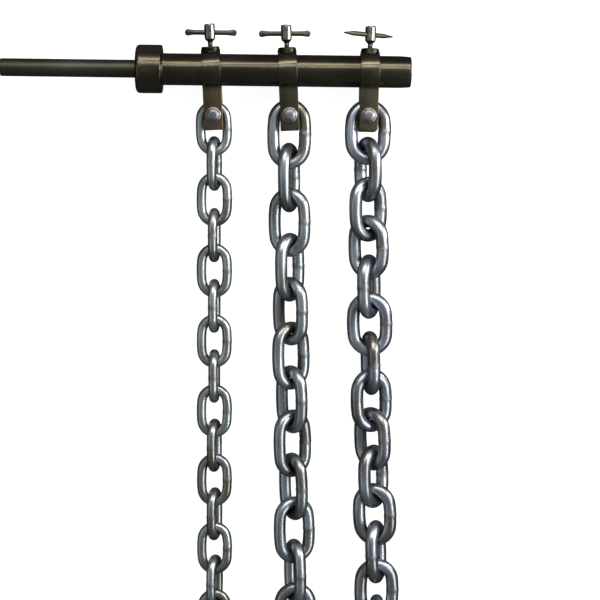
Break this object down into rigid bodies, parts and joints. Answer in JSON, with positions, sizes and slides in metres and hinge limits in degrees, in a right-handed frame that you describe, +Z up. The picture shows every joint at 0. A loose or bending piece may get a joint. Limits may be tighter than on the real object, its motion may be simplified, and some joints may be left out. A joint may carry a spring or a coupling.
{
  "type": "chain set on bar end",
  "caption": "End of a round steel bar with a flanged sleeve and screw clamps, each clamp holding a straight run of welded steel chain of its own size, laid flat.",
  "frame": {"origin": "middle of the bounding box, on the floor that the set lies on", "axes": "+Z up; +X along the bar towards its capped end; +Y from the free ends of the chains towards the bar"},
  "size_m": [0.647, 1.7084, 0.0766],
  "materials": {
    "bar_steel": "turned steel with a dark bronze-brown oxide, satin gloss",
    "end_cap": "dark oxide",
    "clamp_steel": "dark oxide with worn bright edges",
    "bright_steel": "bright zinc plate",
    "small_chain_steel": "blue-grey zinc plate",
    "medium_chain_steel": "blue-grey zinc plate",
    "large_chain_steel": "blue-grey zinc plate"
  },
  "bodies": {
    "bar_end": {"bar_sleeve": "bar_steel", "sleeve_end_cap": "end_cap", "clamp_1_strap": "clamp_steel", "clamp_1_bolt": "bright_steel", "clamp_1_nut": "bright_steel", "clamp_2_strap": "clamp_steel", "clamp_2_bolt": "bright_steel", "clamp_2_nut": "bright_steel", "clamp_3_strap": "clamp_steel", "clamp_3_bolt": "bright_steel", "clamp_3_nut": "bright_steel"},
    "shaft": {"bar_shaft": "bar_steel"},
    "screw_1": {"clamp_1_screw": "bright_steel"},
    "tommy_bar_1": {"clamp_1_tommy_bar": "bright_steel"},
    "screw_2": {"clamp_2_screw": "bright_steel"},
    "tommy_bar_2": {"clamp_2_tommy_bar": "bright_steel"},
    "screw_3": {"clamp_3_screw": "bright_steel"},
    "tommy_bar_3": {"clamp_3_tommy_bar": "bright_steel"},
    "small_first_link": {"small_link_1": "small_chain_steel"},
    "small_upper_run": {"small_links_2_3": "small_chain_steel", "small_links_4_5": "small_chain_steel", "small_links_6_7": "small_chain_steel", "small_links_8_9": "small_chain_steel", "small_links_10_11": "small_chain_steel", "small_links_12_13": "small_chain_steel"},
    "small_lower_run": {"small_links_14_15": "small_chain_steel", "small_links_16_17": "small_chain_steel", "small_links_18_19": "small_chain_steel", "small_links_20_21": "small_chain_steel", "small_links_22_23": "small_chain_steel", "small_links_24_25": "small_chain_steel", "small_links_26_27": "small_chain_steel"},
    "medium_first_link": {"medium_link_1": "medium_chain_steel"},
    "medium_upper_run": {"medium_link_2": "medium_chain_steel", "medium_links_3_4": "medium_chain_steel", "medium_links_5_6": "medium_chain_steel", "medium_links_7_8": "medium_chain_steel", "medium_links_9_10": "medium_chain_steel", "medium_links_11_12": "medium_chain_steel"},
    "medium_lower_run": {"medium_links_13_14": "medium_chain_steel", "medium_links_15_16": "medium_chain_steel", "medium_links_17_18": "medium_chain_steel", "medium_links_19_20": "medium_chain_steel", "medium_link_21": "medium_chain_steel"},
    "large_first_link": {"large_link_1": "large_chain_steel"},
    "large_upper_run": {"large_links_2_3": "large_chain_steel", "large_links_4_5": "large_chain_steel", "large_links_6_7": "large_chain_steel", "large_links_8_9": "large_chain_steel", "large_links_10_11": "large_chain_steel", "large_links_12_13": "large_chain_steel"},
    "large_lower_run": {"large_links_14_15": "large_chain_steel", "large_links_16_17": "large_chain_steel", "large_links_18_19": "large_chain_steel", "large_links_20_21": "large_chain_steel", "large_links_22_23": "large_chain_steel", "large_links_24_25": "large_chain_steel"}
  },
  "joints": [
    {"name": "shaft_spin", "type": "hinge", "parent": "bar_end", "child": "shaft", "pos_m": [0.14812, 0.78253, 0.03359], "axis": [0.9998, 0, -0.02], "continuous": true},
    {"name": "screw_1_turn", "type": "hinge", "parent": "bar_end", "child": "screw_1", "pos_m": [0.0053, 0.84017, 0.03964], "axis": [-0.0494, 0.9972, 0.0562], "continuous": true},
    {"name": "tommy_bar_1_slide", "type": "slide", "parent": "screw_1", "child": "tommy_bar_1", "axis": [0.9997, 0.0001, -0.0228], "range_m": [-0.0174, 0.0136]},
    {"name": "screw_2_turn", "type": "hinge", "parent": "bar_end", "child": "screw_2", "pos_m": [0.12569, 0.84026, 0.03331], "axis": [-0.0491, 0.9987, -0.0115], "continuous": true},
    {"name": "tommy_bar_2_slide", "type": "slide", "parent": "screw_2", "child": "tommy_bar_2", "axis": [0.9997, 0.014, -0.0196], "range_m": [-0.0131, 0.0179]},
    {"name": "screw_3_turn", "type": "hinge", "parent": "bar_end", "child": "screw_3", "pos_m": [0.25856, 0.84027, 0.02889], "axis": [0.0148, 0.9989, -0.0434], "continuous": true},
    {"name": "tommy_bar_3_slide", "type": "slide", "parent": "screw_3", "child": "tommy_bar_3", "axis": [0.9543, -0.0571, -0.2932], "range_m": [-0.0122, 0.0188]},
    {"name": "small_chain_swing", "type": "hinge", "parent": "bar_end", "child": "small_first_link", "pos_m": [0.01161, 0.71273, 0.03245], "axis": [0.0228, -0.0552, 0.9982], "range_deg": [-60, 2]},
    {"name": "small_upper_fold", "type": "hinge", "parent": "small_first_link", "child": "small_upper_run", "pos_m": [0.01314, 0.65459, 0.0292], "axis": [-0.9994, -0.0275, 0.0213], "range_deg": [0, 90]},
    {"name": "small_lower_fold", "type": "hinge", "parent": "small_upper_run", "child": "small_lower_run", "pos_m": [0.01742, -0.02717, 0.02825], "axis": [-1, -0.0083, 0], "range_deg": [0, 90]},
    {"name": "medium_chain_swing", "type": "hinge", "parent": "bar_end", "child": "medium_first_link", "pos_m": [0.13196, 0.71262, 0.03479], "axis": [0.0194, 0.0125, 0.9997], "range_deg": [-2, 2]},
    {"name": "medium_upper_fold", "type": "hinge", "parent": "medium_first_link", "child": "medium_upper_run", "pos_m": [0.13198, 0.63723, 0.03573], "axis": [-0.9998, 0, 0.0194], "range_deg": [0, 20]},
    {"name": "medium_lower_fold", "type": "hinge", "parent": "medium_upper_run", "child": "medium_lower_run", "pos_m": [0.14996, -0.14638, 0.03475], "axis": [-1, -0.0001, 0], "range_deg": [0, 90]},
    {"name": "large_chain_swing", "type": "hinge", "parent": "bar_end", "child": "large_first_link", "pos_m": [0.25666, 0.71261, 0.03443], "axis": [0.0207, 0.0431, 0.9989], "range_deg": [-2, 60]},
    {"name": "large_upper_fold", "type": "hinge", "parent": "large_first_link", "child": "large_upper_run", "pos_m": [0.25672, 0.64567, 0.03732], "axis": [-0.9998, 0, 0.0207], "range_deg": [0, 15]},
    {"name": "large_lower_fold", "type": "hinge", "parent": "large_upper_run", "child": "large_lower_run", "pos_m": [0.28299, -0.09702, 0.03625], "axis": [-0.9999, -0.0114, 0], "range_deg": [0, 90]}
  ]
}
